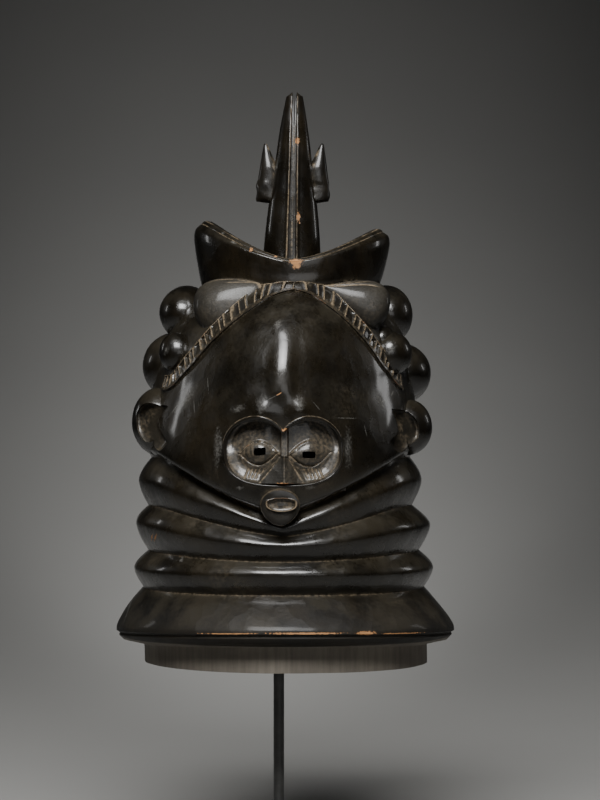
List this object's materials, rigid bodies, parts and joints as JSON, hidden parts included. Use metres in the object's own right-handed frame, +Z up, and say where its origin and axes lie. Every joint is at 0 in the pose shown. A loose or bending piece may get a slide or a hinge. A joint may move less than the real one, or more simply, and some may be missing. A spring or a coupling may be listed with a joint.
{
  "type": "helmet mask",
  "caption": "Carved dark wooden helmet mask with a ringed neck, small sunk face, lobed hair and a split horn in a bowl, held up on a rod with a flat foot.",
  "frame": {"origin": "middle of the underside of the stand's foot, on the surface it stands on", "axes": "+Z up along the mask, the face looks along -Y, +X to the viewer's right"},
  "size_m": [0.2556, 0.26, 0.5803],
  "materials": {
    "carved_wood": "oiled and rubbed to a dark gloss, worn brown on its edges, matt on the collar",
    "stand_steel": "satin black"
  },
  "bodies": {
    "root": {"helmet_mask": "carved_wood", "stand_rod": "stand_steel", "stand_base": "stand_steel"}
  },
  "joints": []
}
